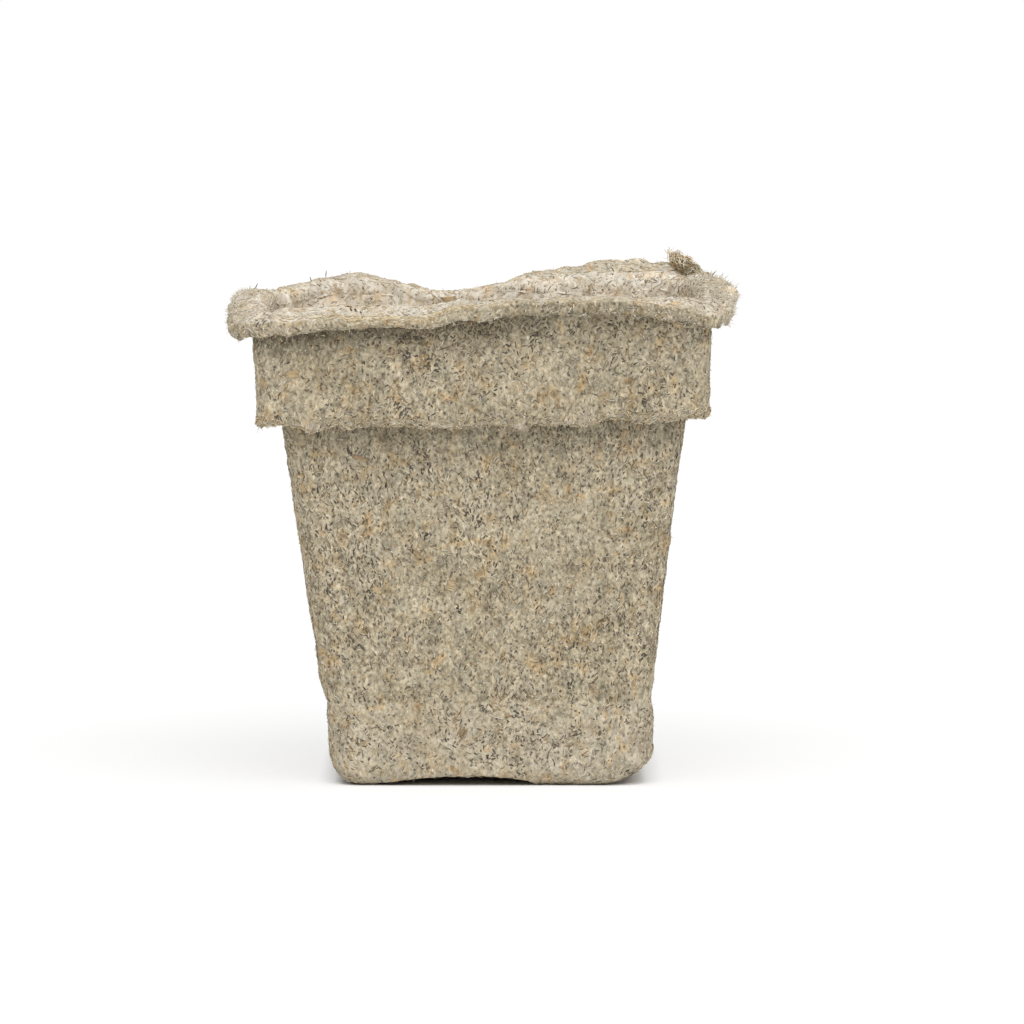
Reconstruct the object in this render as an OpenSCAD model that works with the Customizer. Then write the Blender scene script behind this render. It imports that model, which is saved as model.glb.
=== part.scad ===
// Square seedling pot, moulded from wood fibre in one piece: a raised floor with a drain
// hole, a rounded foot, drafted walls, a stacking collar on a shoulder, and a torn rim
// flange that droops at the front, turns up at the back and waves up and down. The pot has
// set with a slight lean to the left. Each zone of the moulding is a solid of its own, and
// neighbouring zones meet face to face.
// The origin is on the floor under the middle of the rim, with +Z up and the front at -Y.

/* [Walls] */
// Height from the floor to the top of the rim, before its waves
pot_h = 80; // [66:1:110]
// Width across the walls, just under the shoulder
wall_top_w = 65.8; // [60:0.2:70]
// Width across the walls at the pinch line above the foot
wall_foot_w = 53.5; // [46:0.5:58]
// Thickness of the moulded fibre
wall_t = 2; // [1.4:0.1:2.8]
// Radius of the upright corners, seen from above
corner_r = 4; // [3:0.5:7]

/* [Foot] */
// Height of the pinch line above the floor
foot_h = 13.8; // [11:0.2:20]
// How far the foot draws in below the pinch line, on each side
foot_inset = 0.25; // [0:0.05:1]
// Radius of the rounded bottom edge
edge_r = 5; // [4:0.5:8]
// Width of the band that stands on the floor
tread_w = 3; // [2:0.5:5]
// Height of the floor panel's underside
recess_h = 1.4; // [0.8:0.1:2.4]
// Width of the arch in the middle of each side
arch_w = 26; // [12:1:30]
// Height of the arch
arch_h = 1.6; // [0.6:0.1:2.4]
// Distance of the arch from the middle of its side
arch_shift = 6; // [0:0.5:6]
// Diameter of the drain hole
drain_d = 10; // [5:0.5:16]

/* [Collar] */
// Height of the collar, from the shoulder to the flange
collar_h = 17.3; // [10:0.1:22]
// How far the shoulder stands out past the walls, on each side
shoulder_w = 3.75; // [2.5:0.25:6]
// How far the collar flares out from the shoulder to the flange, on each side
collar_flare = 0.6; // [0:0.1:1.5]
// Radius of the collar's lower edge
collar_edge_r = 0.8; // [0.3:0.1:1.5]
// How much lower that edge hangs in the middle of a side than at its corners
hem_sag = 1.3; // [0:0.1:2]

/* [Rim] */
// How far the flange stands out past the collar, on each side
rim_overhang = 4.25; // [3:0.25:8]
// Thickness of the flange
rim_t = 2.3; // [1.6:0.1:3.2]
// Radius of the flange's corners, seen from above
rim_corner_r = 11; // [4:0.5:14]
// How far the flange's outer edge hangs below its root at the front; at the back it is level
rim_droop = 1.3; // [0:0.1:2]
// Size of the waves in the rim, where 1 is as found
wave_size = 1; // [0:0.1:1.3]

/* [Lean] */
// How far the rim stands to the left of the base
lean_w = 1.55; // [0:0.05:3]
// How much higher the right edge of the rim is than the left one
tilt_h = 1.7; // [0:0.1:3]

/* [Tuft] */
// Width of the tuft of loose fibre on the back of the rim
tuft_w = 5; // [2:0.2:7]
// Height of the tuft
tuft_h = 2.8; // [2:0.2:6]
// Distance of the tuft from the right edge of the flange
tuft_inset = 7; // [5:0.5:20]

/* [Hidden] */

// Steps in a quarter turn of an upright corner, and in a rounded edge of the section
corner_steps = 5;
edge_steps = 6;
// Steps along a side that is straight, one that arches and one that waves
plain_steps = 1;
arch_steps = 16;
wave_steps = 20;
// How far the tread is drawn below the floor before it is cut flat
tread_cut = 0.1;
// Least radius of an inside corner
least_r = 0.5;
// Air left under the tuft, which only clings to the rim
tuft_seat = 0.1;
// Place of the tuft across the flange, from its root at 0 to its edge at 1
tuft_place = 0.3;
$fn = 64;

// Waves of the rim along the front and the back: each is [place from -1 at the left end to
// 1 at the right, rise in mm, half length as a share of the half side]
front_waves = [[-0.95, -1.4, 0.3], [-0.24, -0.9, 0.1], [0.35, 1.5, 0.5], [0.97, -1.8, 0.17]];
back_waves = [[-0.94, -1, 0.16], [-0.52, 1.45, 0.15], [-0.13, -2.5, 0.21], [0.57, 2.95, 0.38],
              [1.02, -2.5, 0.13]];
// Waves along the left and the right side, where -1 is the front end. They fade inwards as
// a power of the distance from the middle.
left_waves = [[0.15, 2.4, 0.6]];
right_waves = [[0.35, 2.6, 0.7]];
side_fade = 6;

// Levels and half widths
shoulder_z = pot_h - rim_t - collar_h;
flange_z = pot_h - rim_t;
floor_z = recess_h + wall_t;
wall_top = wall_top_w / 2;
wall_foot = wall_foot_w / 2;
foot_half = wall_foot - foot_inset;
tread_out = foot_half - edge_r;
tread_in = tread_out - tread_w;
floor_half = tread_in - recess_h;
collar_foot = wall_top + shoulder_w;
collar_top = collar_foot + collar_flare;
rim_half = collar_top + rim_overhang;
mouth_half = collar_top - wall_t;
// Inside radius where the floor turns up into the foot
bowl_r = edge_r - wall_t;
tuft_x = rim_half - tuft_inset;
tuft_y = collar_top + tuft_place * rim_overhang;
// Rise of the rim's level line for each mm to the right
tilt = tilt_h / (2 * rim_half);

// Radius of an inside corner whose outside has radius r
function inner_r(r) = max(r - wall_t, least_r);

// One quarter of an outline is a side and the corner after it; four make a rounded square
function quarter(half, r, steps) = [
    for (i = [0 : steps]) [(half - r) * (2 * i / steps - 1), -half],
    for (i = [1 : corner_steps - 1])
        let (a = 90 * i / corner_steps - 90) [half - r + r * cos(a), r - half + r * sin(a)]
];
function turned(p, a) = [p.x * cos(a) - p.y * sin(a), p.x * sin(a) + p.y * cos(a)];
function outline(half, r, steps) =
    [for (side = [0 : 3]) for (p = quarter(half, r, steps)) turned(p, 90 * side)];

// Height of a row of waves at a place along the side: the sum of its bell curves
function row_rise(waves, place) =
    [for (w = waves) w[1]] * [for (w = waves) exp(-pow((place - w[0]) / w[2], 2))];

// Rise of the rim over a point in plan: the front row blends into the back row, and the
// sides add their own. Where they rise, they bend the flange up from the mouth.
function rim_rise(p) = let (
        place = p.x / rim_half,
        depth = p.y / rim_half,
        back = (depth + 1) / 2,
        left = pow(max(-place, 0), side_fade),
        right = pow(max(place, 0), side_fade),
        waves = wave_size * (
            row_rise(front_waves, place) * (1 - back) + row_rise(back_waves, place) * back
            + row_rise(left_waves, depth) * left + row_rise(right_waves, depth) * right
        ),
        out = (max(abs(p.x), abs(p.y)) - mouth_half) / (rim_half - mouth_half)
    ) waves * (waves > 0 ? eased(out) : 1);

// A share from 0 to 1, eased at both ends
function eased(share) = let (s = min(max(share, 0), 1)) s * s * (3 - 2 * s);

// Droop of the flange's outer edge under a point in plan
function droop(p) = rim_droop * (1 - p.y / rim_half) / 2;

// Rise of the foot's tread over a point in plan: an arch on each side, at the same place
// when the pot is turned to show that side
function arch_rise(p) = let (
        side = abs(p.y) >= abs(p.x) ? (p.y < 0 ? 0 : 180) : (p.x > 0 ? 90 : 270),
        along = turned(p, -side).x + arch_shift,
        share = min(abs(2 * along / arch_w), 1)
    ) (arch_h + tread_cut) * sqrt(cos(90 * share)) - tread_cut;

// Drop of the collar's lower edge under a point in plan, which evens out along the side
function hem_drop(p) = let (
        near = min(abs(p.x), abs(p.y)),
        far = max(abs(p.x), abs(p.y))
    ) hem_sag * (0.5 - pow(near / far, 2));

// A point of the upright pot, moved by the lean. The lean starts at the top of the floor
// panel and grows evenly up to the rim, which stays over the origin.
function leaned(p) = let (share = max(p.z - floor_z, 0) / (pot_h - floor_z))
    [p.x + lean_w * (1 - share), p.y, p.z + tilt * p.x * share];

// Points of a rounded edge in a wall section: centre, radius, first and last angle, and the
// radius in plan of the upright corner where the edge starts
function edge(half, z, r, from, to, plan_r, lift = "none") = [
    for (i = [0 : edge_steps])
        let (a = from + (to - from) * i / edge_steps, out = r * (cos(a) - cos(from)))
        [half + r * cos(a), z + r * sin(a), max(plan_r + out, least_r), lift]
];

// What a point of a section adds to its height: the rim's waves, with the droop at its edge, the
// collar's sag, the foot's arch or nothing
function lifted(p, z, lift) =
    lift == "rim" ? z + rim_rise(p) :
    lift == "rim edge" ? z + rim_rise(p) - droop(p) :
    lift == "hem" ? z - hem_drop(p) :
    lift == "arch" ? max(z, arch_rise(p)) : z;

// A wall section swept round the pot. A section's points are [half width, height, radius of
// the upright corner, lift], from the inside at the bottom outwards and up.
module ring(section, steps) {
    points = [
        for (s = section) for (p = outline(s[0], s[2], steps))
            leaned([p.x, p.y, lifted(p, s[1], s[3])])
    ];
    round_count = len(points) / len(section);
    faces = [
        for (s = [0 : len(section) - 1]) for (j = [0 : round_count - 1])
            let (
                a = s * round_count,
                b = (s + 1) % len(section) * round_count,
                next = (j + 1) % round_count
            )
            each [[a + j, b + j, b + next], [a + j, b + next, a + next]]
    ];
    polyhedron(points, faces);
}

module floor_panel() {
    color([0.62, 0.57, 0.48])
    translate([lean_w, 0, recess_h])
    linear_extrude(wall_t)
    difference() {
        polygon(outline(floor_half, least_r, plain_steps));
        circle(d = drain_d);
    }
}

module foot() {
    color([0.66, 0.61, 0.51])
    difference() {
        ring(concat(
            [
                [floor_half, floor_z, least_r, "none"],
                [floor_half, recess_h, least_r, "none"],
                [tread_in, -tread_cut, least_r, "arch"]
            ],
            edge(tread_out, edge_r - tread_cut, edge_r, -90, 0, least_r, "arch"),
            [
                [wall_foot, foot_h, corner_r, "none"],
                [wall_foot - wall_t, foot_h, inner_r(corner_r), "none"]
            ],
            edge(tread_out, floor_z + bowl_r, bowl_r, 0, -90, inner_r(corner_r))
        ), arch_steps);
        translate([lean_w, 0, -foot_half])
            cube(2 * foot_half, center = true);
    }
}

module walls() {
    color([0.66, 0.61, 0.52])
    ring([
        [wall_foot - wall_t, foot_h, inner_r(corner_r), "none"],
        [wall_foot, foot_h, corner_r, "none"],
        [wall_top, shoulder_z, corner_r, "none"],
        [wall_top - wall_t, shoulder_z, inner_r(corner_r), "none"]
    ], plain_steps);
}

module collar() {
    color([0.65, 0.6, 0.51])
    ring(concat(
        [
            [wall_top - wall_t, shoulder_z, inner_r(corner_r), "none"],
            [wall_top, shoulder_z, corner_r, "none"]
        ],
        edge(collar_foot - collar_edge_r, shoulder_z + collar_edge_r, collar_edge_r, -90, 0,
             corner_r - collar_edge_r, "hem"),
        [
            [collar_top, flange_z, corner_r, "rim"],
            [mouth_half, flange_z, inner_r(corner_r), "rim"],
            [collar_foot - wall_t, shoulder_z + wall_t, inner_r(corner_r), "none"],
            [wall_top - wall_t, shoulder_z + wall_t, inner_r(corner_r), "none"]
        ]
    ), wave_steps);
}

module rim_flange() {
    color([0.76, 0.71, 0.62])
    ring(concat(
        [
            [mouth_half, flange_z, inner_r(corner_r), "rim"],
            [collar_top, flange_z, corner_r, "rim"]
        ],
        edge(rim_half - rim_t / 2, flange_z + rim_t / 2, rim_t / 2, -90, 90,
             rim_corner_r - rim_t / 2, "rim edge"),
        [
            [collar_top, pot_h, corner_r, "rim"],
            [mouth_half, pot_h, inner_r(corner_r), "rim"]
        ]
    ), wave_steps);
}

// Height of the flange's top over a point beside its back edge
function flange_top(p) =
    let (out = (p.y - collar_top) / (rim_half - rim_t / 2 - collar_top))
    pot_h - droop(p) * max(0, out) + rim_rise(p);

// A lumpy dome of matted fibre whose underside follows the flange
module fibre_tuft() {
    tuft_sides = 12;
    tuft_rings = 5;
    lump = 0.18;
    lump_count = 3;
    place = [tuft_x, tuft_y];
    base_share = 0.75;
    points = [
        for (i = [0 : tuft_rings - 1]) for (j = [0 : tuft_sides - 1])
            let (
                a = 360 * j / tuft_sides,
                up = i / tuft_rings,
                swell = base_share + (1 - base_share) * sin(180 * up) - pow(up, 3) * base_share,
                r = tuft_w / 2 * swell * (1 + lump * sin(lump_count * a + 90 * i)),
                p = place + r * [cos(a), sin(a)]
            )
            leaned([p.x, p.y, flange_top(p) + tuft_seat + tuft_h * up]),
        leaned([place.x, place.y, flange_top(place) + tuft_seat + tuft_h]),
        leaned([place.x, place.y, flange_top(place) + tuft_seat])
    ];
    top = tuft_rings * tuft_sides;
    faces = [
        for (j = [0 : tuft_sides - 1]) let (next = (j + 1) % tuft_sides) each [
            for (i = [0 : tuft_rings - 2]) let (a = i * tuft_sides, b = a + tuft_sides)
                each [[a + j, b + j, b + next], [a + j, b + next, a + next]],
            [top - tuft_sides + j, top, top - tuft_sides + next],
            [j, next, top + 1]
        ]
    ];
    color([0.55, 0.44, 0.3]) polyhedron(points, faces);
}

floor_panel();
foot();
walls();
collar();
rim_flange();
fibre_tuft();
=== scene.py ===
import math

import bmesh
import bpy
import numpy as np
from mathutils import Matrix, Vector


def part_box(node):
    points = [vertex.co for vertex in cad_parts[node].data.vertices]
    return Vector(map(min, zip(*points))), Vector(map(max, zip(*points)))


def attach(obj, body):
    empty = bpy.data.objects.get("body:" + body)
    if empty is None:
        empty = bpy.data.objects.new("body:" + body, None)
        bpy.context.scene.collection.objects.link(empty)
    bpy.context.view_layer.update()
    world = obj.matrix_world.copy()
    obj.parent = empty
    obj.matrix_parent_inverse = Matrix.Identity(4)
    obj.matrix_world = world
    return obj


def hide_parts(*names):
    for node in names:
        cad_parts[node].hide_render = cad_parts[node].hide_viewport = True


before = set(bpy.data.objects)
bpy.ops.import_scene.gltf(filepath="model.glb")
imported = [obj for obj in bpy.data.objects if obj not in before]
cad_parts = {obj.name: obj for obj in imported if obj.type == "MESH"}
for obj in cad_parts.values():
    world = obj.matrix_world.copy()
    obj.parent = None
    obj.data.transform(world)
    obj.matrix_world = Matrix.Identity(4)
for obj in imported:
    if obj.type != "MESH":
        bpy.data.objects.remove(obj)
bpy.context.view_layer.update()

# The looks of a square seedling pot that is moulded from felted wood fibre. Each zone of the
# moulding is one closed mesh with the relief of its felt, and the loose matter is laid on it
# strand by strand: bark flecks, slivers, pale and dark fibres, fuzz and fringes.
# Sizes are in millimetres, in the frame's axes, and meshes are scaled to metres when made.
# The stage and the camera are in metres.

MM = 0.001


# Driving sizes, taken from the frame


def node_box(node):
    """Lowest and highest corner of a node, in millimetres."""
    low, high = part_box(node)
    return np.array(low) / MM, np.array(high) / MM


def half_width(node):
    """Half width of a node, read from front to back because the pot leans from right to left."""
    return node_box(node)[1][1]


floor_low, floor_high = node_box("floor_panel")
recess_h = floor_low[2]
floor_z = floor_high[2]
wall_t = floor_z - recess_h
base_x = (floor_low[0] + floor_high[0]) / 2
floor_half = half_width("floor_panel")
wall_foot = half_width("foot")
wall_top = half_width("walls")
collar_top = half_width("collar")
rim_half = half_width("rim_flange")

# Sizes that a box doesn't give, as in the part
pot_h = 80.0
foot_h = 13.8
shoulder_z = 60.4
rim_t = 2.3
flange_z = pot_h - rim_t
foot_half = wall_foot - 0.25
collar_foot = collar_top - 0.6
mouth_half = collar_top - wall_t
corner_r = 4.0
inner_corner_r = corner_r - wall_t
least_r = 0.5
edge_r = 5.0
bowl_r = edge_r - wall_t
tread_out = foot_half - edge_r
tread_in = tread_out - 3.0
collar_edge_r = 0.8
rim_corner_r = 11.0
rim_droop = 1.3
drain_r = 5.0
arch_w = 25.8
arch_h = 1.6
arch_shift = 6.0
arch_skew = 0.3

# Waves of the rim along the front and the back: [place from -1 at the left end to 1 at the
# right, rise, half length as a share of the half side]
front_waves = [[-0.95, -1.4, 0.3], [-0.24, -0.9, 0.1], [0.35, 1.5, 0.5], [0.97, -1.8, 0.17]]
back_waves = [[-0.88, -1.1, 0.19], [-0.52, 1.45, 0.15], [-0.13, -2.5, 0.21], [0.57, 2.95, 0.38],
              [1.02, -2.5, 0.13]]
# The same along the left and the right side, where -1 is the front end; they fade inwards
left_waves = [[0.1, 2.2, 0.55]]
right_waves = [[0.35, 2.6, 0.7]]
side_fade = 6

# The torn edge of the rim. Bulges in plan: [angle round the pot in degrees, how far the edge
# stands out, half length in degrees]. Rolls, where the edge is round instead of square:
# [angle, how far its upper and lower lines draw in, half length]. Sags, where it hangs lower:
# [angle, how far its lower line drops, how far its upper line drops, half length].
edge_r_torn = 0.35
edge_bulges = [[-8, 0.3, 22], [-40, -1.4, 13], [34, -2.6, 18], [180, 0.2, 25], [-135, -0.9, 12],
               [135, -1.0, 13]]
edge_rolls = [[200, 2.3, 45], [155, 1.0, 20], [-10, 1.0, 45], [20, 1.2, 20]]
edge_sags = [[-150, 1.2, -0.8, 20], [180, 0.5, 0.5, 30], [-112, 0, 0.9, 10]]
frayed_end = [0, 1.0, 42]
# Its ragged line, outwards in broad and fine waves and upwards: [height, wavelength]
ragged_broad = [0.35, 4.5]
ragged_fine = [0.36, 1.6]
ragged_up = [0.3, 1.3]
# Shades of its face: [angle, how pale, half length]. The darker ones are painted shade.
edge_shades = [[170, 0.9, 30], [0, 1.0, 40], [-112, 0.55, 26], [-68, -0.55, 25], [-154, -0.6, 12]]
# At the back the edge is paler by the first, and the top of the flange duller by the second
back_pale = 0.8
back_dull = 0.15
# Radius of the edge where the mouth turns out into the flange, and of the mouth's corners
mouth_r = 2.2
mouth_corner_r = 8.0

# The collar's lower edge sags along each side and has frays, [height, wavelength]; both fade out
# above it. It stands out as a pale lip.
hem_sag = 1.3
frays_broad = [1.2, 5.0]
frays_fine = [0.5, 2.0]
hem_fade = 4.0
hem_lip = 0.1
hem_pale = 0.4
hem_reach = 1.2

# Dust and painted shade on the outside, [how dark, how far down it reaches]: under the flange,
# where the third value is how much more of it lies at the left, and painted shade under the collar
flange_dust_and_shade = [0.6, 4.0, 0.95]
shoulder_shade = [0.38, 5.0]

# The foot's lower edge is tighter on some sides and rounder on others: how far it stands out
tight_front = 1.8
tight_left = 0.2
tight_right = -2.8
# How pale its outside is, and how pale it is at the pinch line: painted light thrown up from the floor
foot_painted_light = 0.33
pinch_painted_light = 0.22

# The pot leans to the left, with its rim over the origin: a step at the pinch line above the
# foot, an even slope for the rest, and the tilt of its level lines, which starts above the foot
lean_step = 0.42
lean_slope = (base_x - lean_step) / pot_h
lean_tilt = 0.021
step_from, step_to = foot_h - 4, foot_h + 2
tilt_from, tilt_to = 4.0, 30.0

# Layers of the felt's relief, from broad dents to the tangle of fibres, and of the rim's uneven
# height: [height, wavelength]
relief_layers = [[0.18, 11], [0.11, 4.2], [0.10, 1.9], [0.08, 1.0]]
rim_layers = [[0.3, 7], [0.42, 2.6]]
pinch_depth = 0.22
pinch_spread = 1.5

# Columns of a mesh along one side and round one corner, and the spacing of its rows
side_columns = 118
corner_columns = 30
fine = 0.45
coarse = 0.95
# Slack for telling rows apart by their half width
row_slack = 0.01


# Noise


def lattice_noise(points, wavelength, seed):
    """Smooth noise between -1 and 1 at points in millimetres, from a seeded lattice that repeats."""
    size = 64
    lattice = np.random.default_rng(seed).uniform(-1, 1, (size, size, size))
    place = points / wavelength + 17.3 * (seed % 7)
    cell = np.floor(place).astype(int)
    share = smooth(place - cell)
    total = np.zeros(points.shape[:-1])
    for corner in np.ndindex(2, 2, 2):
        weight = np.prod(np.where(corner, share, 1 - share), axis=-1)
        index = (cell + corner) % size
        total += weight * lattice[index[..., 0], index[..., 1], index[..., 2]]
    return total


def smooth(share):
    """A share from 0 to 1, eased at both ends."""
    share = np.clip(share, 0, 1)
    return share * share * (3 - 2 * share)


def axes(points):
    """The coordinates of points, apart."""
    return np.moveaxis(points, -1, 0)


def bell(distance, spread):
    return np.exp(-((distance / spread) ** 2))


def layered(points, layers, seed):
    """The sum of some layers of noise. Their seeds count up from seed."""
    noises = [lattice_noise(points, length, seed + k) for k, (_, length) in enumerate(layers)]
    return sum(height * noise for (height, _), noise in zip(layers, noises))


def felt_relief(points):
    """Height of the felt over its mean surface, with the pinch line above the foot."""
    pinch = pinch_depth * bell(points[..., 2] - foot_h, pinch_spread)
    return layered(points, relief_layers, 1) - pinch


# Sections and outlines


def row(half, z, corner, rim=0.0, relief=1.0, pale=0.0):
    """One row of a section: half width, height, corner radius in plan, share of the rim's
    waves, share of the felt's relief, and how pale the felt is: below 0 it is darker by painted
    shade and dust, and above 1 lighter still, by its paler inner side and by painted light."""
    return np.array([half, z, corner, rim, relief, pale])


def leg(start, end, step):
    """Rows from start towards end, about step apart, without the end itself."""
    length = np.hypot(*(end - start)[:2])
    count = max(1, round(length / step))
    return start + (end - start) * np.arange(count)[:, None] / count


def bend(centre, radius, first, last, count):
    """Rows round an arc of a section, without its last point. centre is the row at its middle."""
    angle = np.radians(first + (last - first) * np.arange(count) / count)
    rows = np.repeat(centre[None], count, axis=0)
    rows[:, 0] += radius * np.cos(angle)
    rows[:, 1] += radius * np.sin(angle)
    return rows


def outline(half, corner):
    """Points in plan of a rounded square for each row, from the front left corner round."""
    along = np.linspace(-1, 1, side_columns + 1)
    angle = np.radians(np.linspace(-90, 0, corner_columns + 1)[1:-1])
    x = np.hstack([(half - corner) * along, half - corner + corner * np.cos(angle)])
    y = np.hstack([-half + 0 * along, corner - half + corner * np.sin(angle)])
    sides = [np.stack(pair, -1) for pair in ((x, y), (-y, x), (-x, -y), (y, -x))]
    return np.concatenate(sides, axis=1)


def row_rise(waves, place):
    """Height of a row of waves along the side: the sum of its bell curves."""
    return sum(rise * bell(place - at, spread) for at, rise, spread in waves)


def rim_rise(plan):
    """Rise of the rim over points in plan: the front row blends into the back row and the sides
    add their own. Where they rise, they bend the flange up from the mouth. The felt is uneven."""
    place, depth = axes(plan / rim_half)
    back = (depth + 1) / 2
    left = np.clip(-place, 0, 1) ** side_fade
    right = np.clip(place, 0, 1) ** side_fade
    rows = row_rise(front_waves, place) * (1 - back) + row_rise(back_waves, place) * back
    sides = row_rise(left_waves, depth) * left + row_rise(right_waves, depth) * right
    reach = reach_of(plan)
    bent = smooth((reach - mouth_half) / (rim_half - mouth_half))
    waves = rows + sides
    waves = np.where(waves > 0, waves * bent, waves)
    spoke = plan * (rim_half / reach)[..., None]
    spoke = np.concatenate([spoke, 0.3 * reach[..., None]], -1)
    return waves + layered(spoke, rim_layers, 11)


def reach_of(points):
    """Distance of points from the pot's axis, measured square to its sides."""
    return np.abs(points[..., :2]).max(axis=-1)


def torn_edge(points, half, height):
    """The rim with its outer edge torn: bulges, bites, rolls, sags and a ragged line. It droops
    at the front and not at the back."""
    x, y, _ = axes(points)
    share = np.clip((reach_of(points) - collar_top) / (rim_half - collar_top), 0, 1)
    level = np.clip((height - flange_z + rim_droop) / (rim_t / 2) - 1, -1, 1)
    reach = layered(points * (1, 1, 0.3), [ragged_broad], 13) + layered(points, [ragged_fine], 14)
    drop = layered(points * (1, 1, 0), [ragged_up], 15) + rim_droop * (y / rim_half + 1) / 2
    for at, out, spread in edge_bulges:
        reach = reach + out * angle_bell(points, at, spread)
    for at, inwards, spread in edge_rolls:
        reach = reach - inwards * level ** 2 * angle_bell(points, at, spread)
    for at, lower, upper, spread in edge_sags:
        drop = drop - (lower * (1 - level) + upper * (1 + level)) / 2 * angle_bell(points, at, spread)
    at, ragged, spread = frayed_end
    reach = reach + ragged * lattice_noise(points * (1, 1, 0.6), 2.4, 18) * angle_bell(points, at, spread)
    radius = np.hypot(x, y)
    return points + share[..., None] * np.stack([x / radius * reach, y / radius * reach, drop], -1)


def frayed_hem(points, half, height):
    """The collar with its lower edge sagging along each side and frayed."""
    x, y, z = axes(points)
    reach = reach_of(points)
    along = np.minimum(np.abs(x), np.abs(y)) / reach
    low = np.clip(1 - (z - shoulder_z) / hem_fade, 0, 1)
    out = smooth((reach - wall_top) / (collar_foot - wall_top))
    frays = layered(points * (1, 1, 0.3), [frays_broad], 16)
    frays = frays + layered(points * (1, 1, 0.5), [frays_fine], 17)
    drop = low * out * (hem_sag * (0.5 - along ** 2) + frays)
    lip = hem_lip * (1 + lattice_noise(points, 3, 19)) * out * bell(z - shoulder_z, hem_reach)
    wider = 1 + lip / reach
    return np.stack([x * wider, y * wider, z - drop], -1)


def arched(points, half, height):
    """The foot with its lower edge tighter on some sides and an arch in the tread of each side."""
    x, y, z = axes(points)
    low = np.clip(1 - height / edge_r, 0, 1) ** 1.5
    outer = np.clip((half - floor_half) / (tread_out - floor_half), 0, 1)
    below = (height < floor_z) | (half > foot_half - wall_t)
    fade = np.where(below, low * outer, 0) / tread_out
    x = x * (1 + fade * np.where(x < 0, tight_left, tight_right))
    y = y * (1 + fade * np.where(y < 0, tight_front, 0))
    front_or_back = np.abs(y) >= np.abs(x)
    along = np.where(front_or_back, np.where(y < 0, x, -x), np.where(x > 0, y, -y))
    share = np.clip(2 * (along + arch_shift) / arch_w, -1, 1)
    rise = arch_h * np.sqrt(np.cos(0.5 * np.pi * share).clip(0)) * (1 + arch_skew * share)
    under = (half > floor_half) & (height < floor_z)
    return np.stack([x, y, np.where(under, np.maximum(z, rise), z)], -1)


def angle_bell(points, at, spread):
    """1 at an angle round the pot in degrees, and less away from it."""
    angle = np.degrees(np.arctan2(points[..., 1], points[..., 0]))
    return bell((angle - at + 180) % 360 - 180, spread)


def rim_shade(points, half, height):
    """The face of the rim's edge is paler or darker in places, most of all along its upper line,
    and pale at the back, where the top of the flange is duller. Where the face is darker, this is
    painted shade."""
    face = half > rim_half - edge_r_torn - row_slack
    upper = smooth((height - flange_z + rim_droop) / rim_t)
    shade = sum(pale * angle_bell(points, at, spread) for at, pale, spread in edge_shades)
    top = (half > mouth_half + mouth_r - row_slack) & (height > flange_z + row_slack)
    back = (points[..., 1] / rim_half + 1) / 2
    turned_up = back_pale * smooth(3 * back - 2)
    duller = np.where(top, -back_dull * back, 0)
    return np.where(face, (0.5 + 0.5 * upper) * shade + turned_up, duller)


def collar_dust_and_shade(points, half, height):
    """The outside of the collar is darker close under the flange, by dust and painted shade, most of
    all at the left, and its lower edge is pale."""
    dark, reach, leftwards = flange_dust_and_shade
    outside = half > collar_foot - collar_edge_r - row_slack
    strength = np.clip(dark - leftwards * points[..., 0] / collar_top, 0.1, 1.5)
    # Dust and painted shade close under the flange
    dust = -strength * bell(height - flange_z, reach)
    hem = hem_pale * bell(height - shoulder_z - 0.5, hem_reach)
    return np.where(outside, dust + hem, 0)


def walls_shade_under_collar(points, half, height):
    """The outside of the walls is darker close under the collar: painted shade."""
    dark, reach = shoulder_shade
    outside = half > wall_top - wall_t - row_slack
    return np.where(outside, -dark * bell(height - shoulder_z, reach), 0)


def leaned(points):
    """The points with the pot's lean."""
    x, y, z = axes(points)
    step = lean_step * smooth((step_to - z) / (step_to - step_from))
    tilt = lean_tilt * smooth((z - tilt_from) / (tilt_to - tilt_from))
    return np.stack([x + lean_slope * (pot_h - z) + step, y, z + tilt * x], -1)


# Skins: the surface of a zone as a grid of points


def unit(vectors):
    return vectors / np.maximum(np.linalg.norm(vectors, axis=-1, keepdims=True), 1e-9)


class Skin:
    """A closed grid of points: rows round the section, columns round the pot. faces names
    spans of rows, and joints are the rows at which the zone meets its neighbours."""

    def __init__(self, points, pale=None, faces=None, joints=()):
        self.points = points
        self.pale = pale
        self.faces = faces
        self.joints = joints
        self.along_row = (np.roll(points, -1, 1) - np.roll(points, 1, 1)) / 2
        self.along_section = (np.roll(points, -1, 0) - np.roll(points, 1, 0)) / 2
        across = np.cross(self.along_row, self.along_section)
        self.row_size = np.linalg.norm(self.along_section, axis=-1)
        self.column_size = np.linalg.norm(self.along_row, axis=-1)
        self.area = np.linalg.norm(across, axis=-1)
        self.normal = unit(across)

    def read(self, values, at_row, at_column):
        """Values of the grid between its points."""
        rows, columns = values.shape[:2]
        r, c = np.floor(at_row).astype(int), np.floor(at_column).astype(int)
        fr, fc = at_row - r, at_column - c
        if values.ndim == 3:
            fr, fc = fr[..., None], fc[..., None]
        r0, r1, c0, c1 = r % rows, (r + 1) % rows, c % columns, (c + 1) % columns
        near = values[r0, c0] * (1 - fc) + values[r0, c1] * fc
        far = values[r1, c0] * (1 - fc) + values[r1, c1] * fc
        return near * (1 - fr) + far * fr

    def face_area(self, face):
        first, last = self.faces[face]
        return self.area[first:last].sum()


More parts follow.
